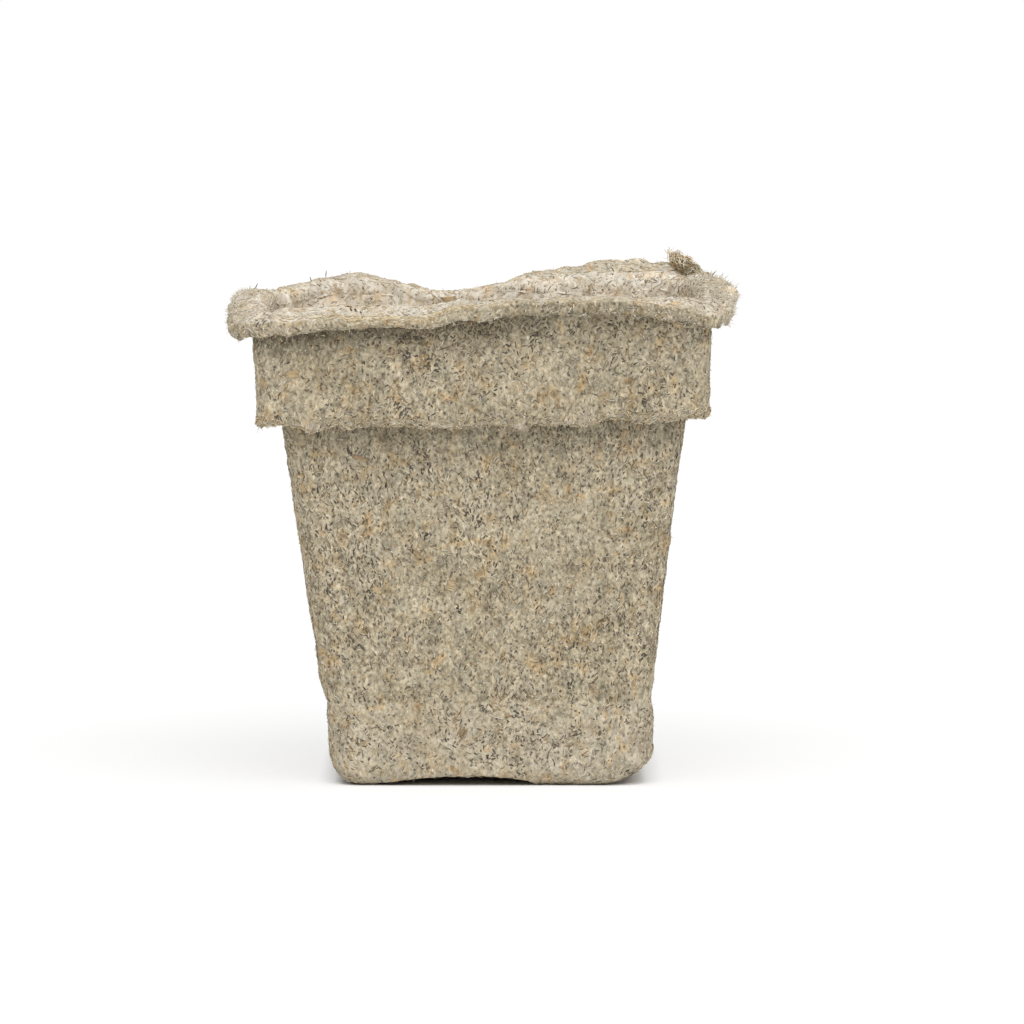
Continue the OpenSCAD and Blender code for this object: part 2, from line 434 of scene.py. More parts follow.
def section_skin(section, faces, joints, shape=None, shade=None):
    """Sweeps a section round the pot and adds the waves, its own shape, the relief and the lean.
    At a joint the relief moves points level, so that both zones keep one line. shade adds to
    how pale the felt is. Both get the half widths and heights of the section's rows."""
    half, height, corner, rim, relief, pale = section.T[..., None]
    plan = outline(half, corner)
    z = height + rim * rim_rise(plan)
    points = np.concatenate([plan, z[..., None]], -1)
    if shape is not None:
        points = shape(points, half, height)
    plain = Skin(points)
    way = plain.normal.copy()
    tangent = plain.along_row
    level = unit(np.stack([tangent[..., 1], -tangent[..., 0], 0 * z], -1))
    for joint in joints:
        outwards = np.sign(np.sum(way[joint] * level[joint], -1, keepdims=True))
        way[joint] = level[joint] * outwards
    points = points + way * (relief * felt_relief(points))[..., None]
    points[..., 2] = np.maximum(points[..., 2], 0)
    pale = np.repeat(pale, points.shape[1], axis=1)
    if shade is not None:
        pale = pale + shade(points, half, height)
    return Skin(leaned(points), pale, faces, joints)


def stacked(stretches):
    """Joins the stretches of a closed section and returns it with the row at which each starts.
    A stretch is its first row, and the spacing from there to the next one or else a bend."""
    ends = [start for start, _ in stretches[1:] + stretches[:1]]
    parts = []
    for (start, way), end in zip(stretches, ends):
        parts.append(leg(start, end, way) if np.isscalar(way) else way)
    return np.vstack(parts), np.cumsum([0] + [len(part) for part in parts])


def walls_skin():
    """The walls: up the outside and down the inside."""
    section, at = stacked([
        (row(wall_foot, foot_h, corner_r), fine),
        (row(wall_top, shoulder_z, corner_r), wall_t / 2),
        (row(wall_top - wall_t, shoulder_z, inner_corner_r, pale=1), coarse),
        (row(wall_foot - wall_t, foot_h, inner_corner_r, pale=1), wall_t / 2),
    ])
    faces = {"outside": (at[0], at[1]), "inside": (at[2], at[3])}
    return section_skin(section, faces, at[:4], shade=walls_shade_under_collar)


def foot_skin():
    """The foot: from the floor's seat out over the tread, up the outside and down the inside."""
    bowl_half = foot_half - wall_t
    edge = bend(row(tread_out, edge_r, least_r, pale=foot_painted_light), edge_r, -90, 0, count=20)
    edge[:, 2] += edge[:, 0] - tread_out
    bowl = bend(row(tread_out, floor_z + bowl_r, least_r, pale=1), bowl_r, 0, -90, count=10)
    bowl[:, 2] = np.maximum(inner_corner_r + bowl[:, 0] - bowl_half, least_r)
    section, at = stacked([
        (row(floor_half, recess_h, least_r, relief=0), fine),
        (row(tread_in, 0, least_r, relief=0.2), fine),
        (row(tread_out, 0, least_r, relief=0.2), edge),
        (row(foot_half, edge_r, least_r + edge_r, pale=foot_painted_light), fine),
        (row(wall_foot, foot_h, corner_r, pale=pinch_painted_light), wall_t / 2),
        (row(wall_foot - wall_t, foot_h, inner_corner_r, pale=1), coarse),
        (row(bowl_half, floor_z + bowl_r, inner_corner_r, pale=1), bowl),
        (row(tread_out, floor_z, least_r, pale=1), coarse),
        (row(floor_half, floor_z, least_r, relief=0, pale=1), wall_t / 2),
    ])
    faces = {"outside": (at[0], at[4]), "inside": (at[5], at[8])}
    return section_skin(section, faces, at[[0, 4, 5, 8]], arched)


def collar_skin():
    """The collar: out over the shoulder, up the outside, and down the inside to its step."""
    edge_half = collar_foot - collar_edge_r
    edge_z = shoulder_z + collar_edge_r
    step_z = shoulder_z + wall_t
    # Down the inside of the mouth the felt is paler: its paler inner side, and painted light where the
    # mouth is in shade
    section, at = stacked([
        (row(wall_top - wall_t, shoulder_z, inner_corner_r), fine),
        (row(edge_half, shoulder_z, corner_r - collar_edge_r),
         bend(row(edge_half, edge_z, corner_r), collar_edge_r, -90, 0, count=5)),
        (row(collar_foot, edge_z, corner_r), fine),
        (row(collar_top, flange_z, corner_r, rim=1), wall_t / 2),
        (row(mouth_half, flange_z, mouth_corner_r, rim=1, pale=1.6), fine),
        (row(collar_foot - wall_t, step_z, inner_corner_r, pale=1.2), fine),
        (row(wall_top - wall_t, step_z, inner_corner_r, pale=1), wall_t / 2),
    ])
    faces = {"outside": (at[0], at[3]), "inside": (at[4], at[6]), "hem": (at[1] - 2, at[2] + 2)}
    return section_skin(section, faces, at[[0, 3, 4, 6]], frayed_hem, collar_dust_and_shade)


def rim_skin():
    """The rim: out over the collar and under the flange, up its torn edge and back over its top."""
    nose_half = rim_half - edge_r_torn
    nose_r = rim_corner_r - edge_r_torn
    low_z = flange_z - rim_droop
    high_z = pot_h - rim_droop
    face_low = low_z + edge_r_torn
    face_high = high_z - edge_r_torn
    top_half = mouth_half + mouth_r
    mouth_z = pot_h - mouth_r
    # Under the flange and up its face the felt is darker by painted shade; down the mouth it is paler, by
    # its paler inner side and by painted light
    section, at = stacked([
        (row(mouth_half, flange_z, mouth_corner_r, 1, pale=1.6), wall_t / 2),
        (row(collar_top, flange_z, corner_r, 1), fine),
        (row(nose_half, low_z, nose_r, 1, pale=-0.4),
         bend(row(nose_half, face_low, rim_corner_r, 1, pale=-0.4), edge_r_torn, -90, 0, count=4)),
        (row(rim_half, face_low, rim_corner_r, 1, pale=-0.3), fine / 2),
        (row(rim_half, face_high, rim_corner_r, 1, pale=-0.2),
         bend(row(nose_half, face_high, rim_corner_r, 1, pale=0.4), edge_r_torn, 0, 90, count=4)),
        (row(nose_half, high_z, nose_r, 1, pale=0.6), fine),
        (row(top_half, pot_h, corner_r, 1, pale=0.75),
         bend(row(top_half, mouth_z, mouth_corner_r, 1, pale=1.1), mouth_r, 90, 180, count=8)),
        (row(mouth_half, mouth_z, mouth_corner_r, 1, pale=1.4), fine),
    ])
    faces = {"outside": (at[1], at[8]), "edge": (at[2], at[5]), "crest": (at[4] - 1, at[5] + 2),
             "top": (at[5], at[7])}
    return section_skin(section, faces, at[:2], torn_edge, rim_shade)


def floor_skin():
    """The floor: over its top to the drain hole, and back under it."""
    section, at = stacked([
        (row(floor_half, floor_z, least_r, relief=0, pale=1), coarse),
        (row(drain_r, floor_z, drain_r, pale=1), fine),
        (row(drain_r, recess_h, drain_r), coarse),
        (row(floor_half, recess_h, least_r, relief=0), wall_t / 2),
    ])
    faces = {"outside": (at[1], at[3]), "inside": (at[0], at[1])}
    return section_skin(section, faces, joints=at[[0, 3]])


# Meshes


def new_object(name, data):
    """Links a mesh, a lamp or a camera to the scene as an object."""
    thing = bpy.data.objects.new(name, data)
    bpy.context.scene.collection.objects.link(thing)
    return thing


def mesh_of(name, points, faces):
    """A smooth mesh from points in millimetres and faces of one size."""
    sides = faces.shape[1]
    mesh = bpy.data.meshes.new(name)
    mesh.vertices.add(len(points))
    mesh.vertices.foreach_set("co", (points * MM).astype(np.float32).ravel())
    mesh.loops.add(faces.size)
    mesh.loops.foreach_set("vertex_index", faces.astype(np.int32).ravel())
    mesh.polygons.add(len(faces))
    mesh.polygons.foreach_set("loop_start", np.arange(0, faces.size, sides, dtype=np.int32))
    mesh.update(calc_edges=True)
    mesh.shade_smooth()
    return mesh


def add_map(mesh, places):
    """Lays the mesh out for textures: places in the unit square, one for each corner."""
    layer = mesh.uv_layers.new(name="OFBake")
    layer.data.foreach_set("uv", places.astype(np.float32).ravel())


def skin_object(name, skin):
    """The closed mesh of a skin, with its pale zones and a map that unrolls each quarter."""
    rows, columns = skin.points.shape[:2]
    r, c = np.meshgrid(np.arange(rows), np.arange(columns), indexing="ij")
    next_r, next_c = (r + 1) % rows, (c + 1) % columns
    corners = [r * columns + c, r * columns + next_c, next_r * columns + next_c, next_r * columns + c]
    faces = np.stack(corners, -1).reshape(-1, 4)
    mesh = mesh_of(name, skin.points.reshape(-1, 3), faces)
    quarter = columns // 4
    margin = 0.01
    u = np.stack([c % quarter, c % quarter + 1, c % quarter + 1, c % quarter], -1) / quarter
    v = np.stack([r, r, r + 1, r + 1], -1) / rows
    across = (c // quarter % 2)[..., None]
    up = (c // quarter // 2)[..., None]
    u = (across + margin + u * (1 - 2 * margin)) / 2
    v = (up + margin + v * (1 - 2 * margin)) / 2
    add_map(mesh, np.stack([u, v], -1).reshape(-1, 2))
    ends = np.zeros(len(mesh.edges) * 2, np.int32)
    mesh.edges.foreach_get("vertices", ends)
    end_rows = ends.reshape(-1, 2) // columns
    sharp = (end_rows[:, 0] == end_rows[:, 1]) & np.isin(end_rows[:, 0], skin.joints)
    mesh.attributes.new("sharp_edge", "BOOLEAN", "EDGE").data.foreach_set("value", sharp)
    pale = mesh.attributes.new("pale", "FLOAT", "POINT")
    pale.data.foreach_set("value", skin.pale.astype(np.float32).ravel())
    return new_object(name, mesh)


# Strands: flecks, slivers, fibres and hairs, each a closed sliver along a path

# One seeded generator places them all, so that each run gives the same pot
rng = np.random.default_rng(41)
# A path steps over a cell of the skin as if it were at least this large
least_cell = 0.05
# How far a strand and a chip lie above the felt, and how deep in it a hair has its root
strand_lift = 0.03
chip_lift = 0.04
root_depth = 0.1


class Strands:
    """Gathers strands of one kind from many places, then makes them one piece."""

    def __init__(self, stations, flatness=0.9):
        self.stations = stations
        self.flatness = flatness
        self.along = np.linspace(0, 1, stations)
        self.batches = []

    def add(self, paths, normals, widths, tints):
        self.batches.append((paths, normals, widths, tints))

    def piece(self, name):
        """One mesh of all the strands: a point, rings of three corners and a point for each."""
        paths, normals, widths, tints = (np.concatenate(part) for part in zip(*self.batches))
        count = len(paths)
        rings = self.stations - 2
        way = unit(np.gradient(paths, axis=1))[:, 1:-1]
        side = unit(np.cross(way, normals[:, 1:-1]))
        up = np.cross(side, way)
        half = (widths[:, None] / 2 * np.sqrt(np.sin(np.pi * self.along[1:-1])))[..., None]
        deep = half * self.flatness
        middle = paths[:, 1:-1]
        corners = [middle - side * half - up * deep, middle + side * half - up * deep, middle + up * deep]
        ring = np.stack(corners, 2).reshape(count, rings * 3, 3)
        points = np.concatenate([paths[:, :1], ring, paths[:, -1:]], 1)
        points[..., 2] = np.maximum(points[..., 2], 0)
        each = rings * 3 + 2
        shape = []
        for c in range(3):
            n = (c + 1) % 3
            shape.append([0, 1 + c, 1 + n])
            shape.append([each - 1, each - 4 + n, each - 4 + c])
            for k in range(1, 1 + 3 * (rings - 1), 3):
                shape.append([k + c, k + 3 + c, k + 3 + n])
                shape.append([k + c, k + 3 + n, k + n])
        faces = (np.array(shape)[None] + each * np.arange(count)[:, None, None]).reshape(-1, 3)
        mesh = mesh_of(name, points.reshape(-1, 3), faces)
        across = math.ceil(math.sqrt(count))
        cell = np.arange(count)[:, None]
        u = np.concatenate([[0.5], np.tile([0.15, 0.85, 0.5], rings), [0.5]])
        v = np.concatenate([[0.15], np.repeat(np.linspace(0.3, 0.7, rings), 3), [0.85]])
        places = np.stack([cell % across + u, cell // across + v], -1) / across
        add_map(mesh, places.reshape(-1, 2)[faces.ravel()])
        colours = np.concatenate([tints, np.ones((count, 1))], 1).repeat(each, axis=0)
        tint = mesh.attributes.new("tint", "FLOAT_COLOR", "POINT")
        tint.data.foreach_set("color", colours.astype(np.float32).ravel())
        return new_object(name, mesh)


def scatter(skin, face, count, density=None):
    """Random places on a face of a skin, by its area and a density: rows and columns."""
    first, last = skin.faces[face]
    weight = skin.area[first:last]
    if density is not None:
        weight = weight * density(skin.points[first:last])
    share = np.cumsum(weight.ravel())
    cell = np.searchsorted(share / share[-1], rng.random(count))
    rows, columns = np.unravel_index(cell, weight.shape)
    return first + rows + rng.random(count), columns + rng.random(count)


def walk(skin, face, places, heading, curl, length, stations):
    """Paths that wander over a face from places and turn back at its ends, and their normals."""
    first, last = skin.faces[face]
    at_row, at_column = places
    row_size = np.maximum(skin.row_size, least_cell)
    column_size = np.maximum(skin.column_size, least_cell)
    step = length / (stations - 1)
    paths, normals = [], []
    for _ in range(stations):
        paths.append(skin.read(skin.points, at_row, at_column))
        normals.append(skin.read(skin.normal, at_row, at_column))
        row_step = np.sin(heading) * step / skin.read(row_size, at_row, at_column)
        leaves = (at_row + row_step < first) | (at_row + row_step > last - 1)
        heading = np.where(leaves, -heading, heading)
        at_row = np.clip(at_row + np.where(leaves, -row_step, row_step), first, last - 1)
        at_column = at_column + np.cos(heading) * step / skin.read(column_size, at_row, at_column)
        heading = heading + curl * step
    return np.stack(paths, 1), np.stack(normals, 1)


def pick(palette, count):
    """Colours from a palette of (share, colour), each a little lighter or darker."""
    shares = np.array([share for share, _ in palette])
    colours = np.array([colour for _, colour in palette])
    chosen = colours[rng.choice(len(palette), count, p=shares / shares.sum())]
    return chosen * rng.uniform(0.82, 1.2, (count, 1))


def between(limits, count):
    """Random sizes between two limits, with small ones more common."""
    low, high = limits
    return low + (high - low) * rng.random(count) ** 1.6


def lay(strands, skin, face, per_area, length, width, palette, heading=90, spread=90, curl=0.5,
        bow=0.0, stand=0.0, density=None, bunch=1):
    """Scatters strands over a face, in bunches of that many. They head that many degrees from
    level, give or take the spread, bow up in the middle and stand up at the end."""
    count = round(per_area * skin.face_area(face) / bunch) * bunch
    rows, columns = [np.repeat(part, bunch) for part in scatter(skin, face, count // bunch, density)]
    if bunch > 1:
        first, last = skin.faces[face]
        rows = np.clip(rows + rng.normal(size=count), first, last - 1)
        columns = columns + rng.normal(size=count)
    places = rows, columns
    turn = np.radians(heading + spread * rng.uniform(-1, 1, count) + 180 * rng.integers(0, 2, count))
    lengths = between(length, count)
    curls = curl * rng.normal(0, 1, count)
    paths, normals = walk(skin, face, places, turn, curls, lengths, strands.stations)
    rise = strand_lift + bow * rng.random((count, 1)) * np.sin(np.pi * strands.along)
    rise = rise + stand * rng.random((count, 1)) * lengths[:, None] * strands.along ** 1.5
    paths = paths + normals * rise[..., None]
    strands.add(paths, normals, between(width, count), pick(palette, count))


def split_chips(strands, skin, face, per_area, length, width, palette):
    """Chips of wood, each a bundle of slivers side by side."""
    splits = 7
    count = round(per_area * skin.face_area(face))
    at_row, at_column = scatter(skin, face, count)
    heading = rng.uniform(0, 2 * np.pi, count)
    lengths, widths = between(length, count), between(width, count)
    tints = pick(palette, count)
    row_size = skin.read(skin.row_size, at_row, at_column)
    column_size = skin.read(skin.column_size, at_row, at_column)
    first, last = skin.faces[face]
    for split in range(splits):
        aside = widths * (split / (splits - 1) - 0.5) + 0.05 * rng.normal(size=count)
        back = lengths * rng.uniform(-0.15, 0.15, count)
        rows = at_row + (np.cos(heading) * aside + np.sin(heading) * back) / row_size
        columns = at_column + (np.cos(heading) * back - np.sin(heading) * aside) / column_size
        places = np.clip(rows, first, last - 1), columns
        paths, normals = walk(skin, face, places, heading, 0.0, lengths, strands.stations)
        shades = tints * rng.uniform(0.85, 1.12, (count, 1))
        thick = widths / splits * rng.uniform(2.2, 3.4, count)
        strands.add(paths + chip_lift * normals, normals, thick, shades)


def stray_hair(strands, skin, face, x, y, length, lean, colour):
    """One hair that stands on a face over a place in plan and leans to the right."""
    first, last = skin.faces[face]
    points = skin.points[first:last].reshape(-1, 3)
    root = points[np.argmin(np.hypot(points[:, 0] - x, points[:, 1] - y))]
    along = strands.along[:, None]
    path = root + length * (along * (0, 0, 1) + lean * along ** 1.5 * (1, 0, 0))
    aside = np.repeat([[0.0, 1.0, 0.0]], strands.stations, axis=0)
    strands.add(path[None], aside[None], np.array([hair_width]), np.array([colour]))


def fringe(strands, skin, face, per_area, length, width, palette, out=1.0, down=0.0, astray=0.4,
           density=None):
    """Hairs that stand off a face: out along its normal, down, and astray by chance."""
    count = round(per_area * skin.face_area(face))
    places = scatter(skin, face, count, density)
    roots = skin.read(skin.points, *places)
    normals = skin.read(skin.normal, *places)
    way = unit(out * normals + down * np.array([0, 0, -1]) + astray * rng.normal(size=(count, 3)))
    sway = 0.35 * rng.normal(size=(count, 3))
    lengths = between(length, count)[:, None, None]
    along = strands.along[None, :, None]
    reach = way[:, None] * along + sway[:, None] * along ** 2
    paths = (roots - root_depth * normals)[:, None] + lengths * reach
    aside = np.repeat(unit(rng.normal(size=(count, 1, 3))), strands.stations, axis=1)
    strands.add(paths, aside, between(width, count), pick(palette, count))


# Materials


class Nodes:
    """Builds a node tree: add() makes a node and sets or links its inputs."""

    def __init__(self, tree):
        self.tree = tree
        tree.nodes.clear()

    def put(self, socket, value):
        if isinstance(value, bpy.types.NodeSocket):
            self.tree.links.new(value, socket)
        else:
            socket.default_value = value

    def add(self, kind, inputs=None, **settings):
        node = self.tree.nodes.new("ShaderNode" + kind)
        for key, value in settings.items():
            setattr(node, key, value)
        for key, value in (inputs or {}).items():
            self.put(node.inputs[key], value)
        return node

    def math(self, operation, a, b=0.0):
        return self.add("Math", {0: a, 1: b}, operation=operation).outputs[0]

    def mix(self, factor, a, b, blend="MIX"):
        node = self.add("Mix", {}, data_type="RGBA", blend_type=blend)
        for index, value in ((0, factor), (6, a), (7, b)):
            self.put(node.inputs[index], value)
        return node.outputs[2]

    def times(self, a, b):
        return self.math("MULTIPLY", a, b)

    def shade(self, colour, factor, tone):
        """A colour multiplied by a tone, by that share."""
        return self.mix(factor, colour, tone, "MULTIPLY")

    def ramp(self, factor, stops):
        node = self.add("ValToRGB", {"Fac": factor})
        ramp = node.color_ramp
        while len(ramp.elements) < len(stops):
            ramp.elements.new(0.5)
        for element, (place, colour) in zip(ramp.elements, stops):
            element.position = place
            element.color = colour
        return node.outputs["Color"]

    def span(self, value, low, high):
        """value as a share of the way from low to high, kept between 0 and 1."""
        inputs = {"Value": value, "From Min": low, "From Max": high}
        return self.add("MapRange", inputs, clamp=True).outputs["Result"]

    def place(self):
        """Place on the object, in millimetres."""
        inputs = {0: self.add("TexCoord").outputs["Object"], "Scale": 1 / MM}
        return self.add("VectorMath", inputs, operation="SCALE").outputs[0]

    def seen(self):
        """1 where the camera looks, straight, by gloss or through glass, and 0 for other light."""
        path = self.add("LightPath")
        straight = self.math("MAXIMUM", path.outputs["Is Camera Ray"], path.outputs["Is Glossy Ray"])
        return self.math("MAXIMUM", straight, path.outputs["Is Transmission Ray"])

    def finish(self, output, shader):
        self.tree.links.new(shader.outputs[0], self.add(output).inputs["Surface"])

    def matt(self, colour, roughness, specular, bump=None):
        """Ends a material with a dull surface."""
        inputs = {"Base Color": colour, "Roughness": roughness, "Specular IOR Level": specular}
        if bump is not None:
            inputs["Normal"] = bump.outputs[0]
        self.finish("OutputMaterial", self.add("BsdfPrincipled", inputs))


def new_material(name):
    """A material and the builder of its nodes."""
    material = bpy.data.materials.new(name)
    material.use_nodes = True
    return material, Nodes(material.node_tree)


def grey(value):
    return (value, value, value, 1)


def felt_material(name):
    """Felted wood fibre: a fine tangle of cream, tan and brown fibres with specks of bark. Where
    the felt is pale it is looser and mottled, with a coarser grain."""
    material, n = new_material(name)
    place = n.place()
    upright = n.add("Mapping", {"Vector": place, "Scale": (1, 1, 0.75)}).outputs[0]

    def noise(scale, detail=2.0, roughness=0.55, distortion=0.0, offset=0.0):
        moved = n.add("VectorMath", {0: upright, 1: (offset, offset, offset)}, operation="ADD")
        inputs = {"Vector": moved.outputs[0], "Scale": scale, "Detail": detail,
                  "Roughness": roughness, "Distortion": distortion}
        return n.add("TexNoise", inputs).outputs[0]

    def thread(scale, width, offset):
        """Thin curling lines: where a noise passes through its middle."""
        level = n.math("ABSOLUTE", n.math("SUBTRACT", noise(scale, 1.5, 0.6, 0.4, offset), 0.5))
        return n.math("SUBTRACT", 1.0, n.span(level, 0.0, width))

    grain = noise(2.0, 2.2, 0.56, 0.5)
    tone = noise(0.95, 2.0, 0.6, 0.4, 13)
    clump = noise(0.42, 2.0, 0.6, 0.3, 71)
    stain = noise(0.16, 2.0, 0.5, 0.0, 97)
    tint = noise(0.42, 1.5, 0.55, 0.6, 41)
    mottle = noise(0.6, 1.5, 0.5, 0.6, 29)
    pale_thread = n.times(thread(0.9, 0.03, 31), n.span(noise(0.6, 1, offset=7), 0.45, 0.6))
    dark_thread = n.times(thread(1.1, 0.025, 53), n.span(noise(0.7, 1, offset=19), 0.5, 0.6))

    pressed = n.ramp(grain, [
        (0.27, (0.15, 0.125, 0.09, 1)),
        (0.40, (0.345, 0.292, 0.202, 1)),
        (0.50, (0.465, 0.40, 0.28, 1)),
        (0.60, (0.56, 0.487, 0.352, 1)),
        (0.76, (0.665, 0.597, 0.462, 1)),
    ])
    loose = n.ramp(noise(1.6, 2.0, 0.5, 0.6, 5), [
        (0.28, (0.45, 0.37, 0.265, 1)),
        (0.42, (0.635, 0.567, 0.468, 1)),
        (0.52, (0.70, 0.647, 0.556, 1)),
        (0.68, (0.74, 0.697, 0.618, 1)),
    ])
    pale = n.add("Attribute", {}, attribute_name="pale").outputs["Fac"]
    wander = n.times(n.math("SUBTRACT", noise(1.2, 1.0, offset=83), 0.5), 0.8)
    calm = n.times(wander, 0.6)
    firm = n.span(pale, 1.4, 0.0)
    soft = n.math("SUBTRACT", 1.0, firm)
    # Darker where pale is low: painted shade under the flange, under the collar and on the rim's face, and
    # patches of dust at random
    dust_and_shade = n.span(n.math("SUBTRACT", wander, pale), 0.0, 1.0)
    colour = n.mix(n.span(n.math("ADD", pale, calm), 0.15, 0.85), pressed, loose)
    # Above 1 the felt is lighter still: its paler inner side, and painted light in the shaded mouth
    colour = n.shade(colour, n.span(pale, 1.0, 1.6), grey(1.31))
    colour = n.shade(colour, dust_and_shade, (0.405, 0.405, 0.385, 1))
    dull = n.shade(colour, 1.0, grey(0.79))
    bright = n.shade(colour, 1.0, grey(1.20))
    colour = n.mix(firm, colour, n.mix(n.span(tone, 0.34, 0.66), dull, bright))
    colour = n.shade(colour, n.times(firm, n.span(clump, 0.52, 0.3)), grey(0.72))
    colour = n.shade(colour, n.span(stain, 0.42, 0.66), (0.87, 0.85, 0.81, 1))
    colour = n.shade(colour, n.span(tint, 0.55, 0.72), (1.0, 0.85, 0.67, 1))
    colour = n.shade(colour, n.span(tint, 0.46, 0.30), (0.885, 0.915, 0.935, 1))
    colour = n.shade(colour, n.times(soft, n.span(mottle, 0.56, 0.34)), (0.70, 0.66, 0.60, 1))
    colour = n.mix(n.times(pale_thread, 0.5), colour, (0.68, 0.62, 0.49, 1))
    colour = n.mix(n.times(n.times(dark_thread, firm), 0.45), colour, (0.12, 0.10, 0.075, 1))

    spots = n.add("TexVoronoi", {"Vector": place, "Scale": 1.2})
    chosen = n.math("GREATER_THAN", n.add("SeparateColor", {0: spots.outputs["Color"]}).outputs[0], 0.74)
    dot = n.math("SUBTRACT", 1.0, n.span(spots.outputs["Distance"], 0.14, 0.36))
    speck = n.times(n.times(chosen, dot), n.span(pale, 1.6, 0.2))
    colour = n.mix(speck, colour, (0.10, 0.088, 0.075, 1))

    height = n.math("ADD", n.times(grain, 0.7), n.times(pale_thread, 0.25))
    strength = n.math("ADD", n.times(firm, 0.5), 0.12)
    bump = n.add("Bump", {"Height": height, "Strength": strength, "Distance": 0.25 * MM})
    n.matt(colour, 0.95, 0.15, bump)
    return material


def strand_material(name):
    """Bits of fibre and bark: their own tint, lighter and darker in places."""
    material, n = new_material(name)
    tint = n.add("Attribute", {}, attribute_name="tint").outputs["Color"]
    streak = n.add("TexNoise", {"Vector": n.place(), "Scale": 5.0, "Detail": 2.0}).outputs[0]
    n.matt(n.shade(tint, 1.0, n.ramp(streak, [(0.3, grey(0.8)), (0.7, grey(1.16))])), 0.9, 0.2)
    return material


def tuft_material(name):
    """The matted inside of the tuft: brown fibre, darker in its hollows by painted shade."""
    material, n = new_material(name)
    inputs = {"Vector": n.place(), "Scale": 2.2, "Detail": 3.0, "Distortion": 0.8}
    tangle = n.add("TexNoise", inputs).outputs[0]
    colour = n.ramp(tangle, [
        (0.32, (0.32, 0.24, 0.15, 1)),
        (0.50, (0.50, 0.38, 0.23, 1)),
        (0.68, (0.64, 0.51, 0.33, 1)),
    ])
    n.matt(colour, 0.95, 0.15, n.add("Bump", {"Height": tangle, "Strength": 0.9, "Distance": 0.3 * MM}))
    return material


# Stage, light and camera

# The lamp is a wide soft panel far above, in front and a little to the right
world_light = 0.5
lamp_strength = 2.6
lamp_spread = math.radians(70)
lamp_tilt = math.radians(30)
lamp_turn = math.radians(10)

# The floor seen by the camera is mostly a plain white, so that the shadow on it stays faint.
# That white starts outside the foot.
floor_reach = 6.0
floor_colour = grey(0.93)
floor_white = 0.68

# The camera stands well back, level with the front, and looks a little down
camera_place = (0.00495, -1.3, 0.1462)
camera_pitch = math.radians(4.54)
camera_lens = 274.9
camera_sensor = 36.0


def make_floor():
    mesh = bpy.data.meshes.new("floor")
    corners = [(-1, -1), (1, -1), (1, 1), (-1, 1)]
    mesh.from_pydata([(x * floor_reach, y * floor_reach, 0) for x, y in corners], [], [(0, 1, 2, 3)])
    floor = new_object("floor", mesh)
    material, n = new_material("floor_white")
    apart = n.add("SeparateXYZ", {0: n.place()})
    sideways = n.math("ABSOLUTE", n.math("SUBTRACT", apart.outputs["X"], base_x))
    aside = n.math("MAXIMUM", sideways, n.math("ABSOLUTE", apart.outputs["Y"]))
    outside = n.span(aside, foot_half - wall_t, foot_half + wall_t)
    share = n.times(n.times(n.seen(), outside), floor_white)
    plain = n.add("BsdfDiffuse", {"Color": floor_colour})
    white = n.add("Emission", {"Color": grey(1), "Strength": 1.0})
    n.finish("OutputMaterial", n.add("MixShader", {0: share, 1: plain.outputs[0], 2: white.outputs[0]}))
    floor.data.materials.append(material)


def make_light():
    world = bpy.data.worlds.new("studio")
    bpy.context.scene.world = world
    world.use_nodes = True
    n = Nodes(world.node_tree)
    strength = n.add("MapRange", {"Value": n.seen(), "To Min": world_light, "To Max": 1.0})
    back = n.add("Background", {"Color": grey(1), "Strength": strength.outputs["Result"]})
    n.finish("OutputWorld", back)
    lamp = bpy.data.lights.new("sky_panel", "SUN")
    lamp.energy = lamp_strength
    lamp.angle = lamp_spread
    panel = new_object("sky_panel", lamp)
    panel.rotation_euler = (lamp_tilt, 0, lamp_turn)


def make_camera():
    data = bpy.data.cameras.new("camera")
    data.sensor_fit = "HORIZONTAL"
    data.sensor_width = camera_sensor
    data.lens = camera_lens
    camera = new_object("camera", data)
    camera.location = camera_place
    camera.rotation_euler = (math.pi / 2 - camera_pitch, 0, 0)
    bpy.context.scene.camera = camera


# Making


def add_piece(piece, material, replaced=None):
    """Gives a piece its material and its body."""
    piece.data.materials.append(material)
    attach(piece, "root")
    if replaced is not None:
        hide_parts(replaced)


bpy.context.scene.view_settings.view_transform = "Standard"
make_camera()
make_floor()
make_light()

felt = felt_material("felt")
loose_fibre = strand_material("loose_fibre")
skins = {
    "floor_panel": floor_skin(),
    "foot": foot_skin(),
    "walls": walls_skin(),
    "collar": collar_skin(),
    "rim_flange": rim_skin(),
}
for zone, skin in skins.items():
    add_piece(skin_object(zone + "_felt", skin), felt, replaced=zone)

# Colours of the loose matter: (share, colour)
bark = [(3, (0.087, 0.07, 0.047)), (2, (0.112, 0.098, 0.074)), (3, (0.148, 0.11, 0.064))]
slate = [(2, (0.09, 0.078, 0.064)), (2, (0.12, 0.108, 0.092)), (1, (0.071, 0.057, 0.042))]
dust = [(3, (0.175, 0.145, 0.10)), (4, (0.255, 0.21, 0.145)), (1, (0.215, 0.19, 0.155))]
faded = [(3, (0.455, 0.375, 0.265)), (3, (0.53, 0.45, 0.335)), (1, (0.31, 0.26, 0.19))]
tan = [(3, (0.44, 0.325, 0.19)), (3, (0.50, 0.38, 0.225)), (1, (0.32, 0.21, 0.115))]
chip = [(3, (0.50, 0.385, 0.235)), (2, (0.54, 0.41, 0.24)), (1, (0.36, 0.26, 0.16))]
rust = [(3, (0.72, 0.52, 0.29)), (2, (0.62, 0.43, 0.23)), (1, (0.34, 0.24, 0.14)),
        (3, (0.74, 0.65, 0.46)), (3, (0.84, 0.77, 0.61))]
olive = [(3, (0.64, 0.56, 0.38)), (2, (0.50, 0.43, 0.28)), (1, (0.28, 0.24, 0.17)), (4, (0.82, 0.76, 0.62))]
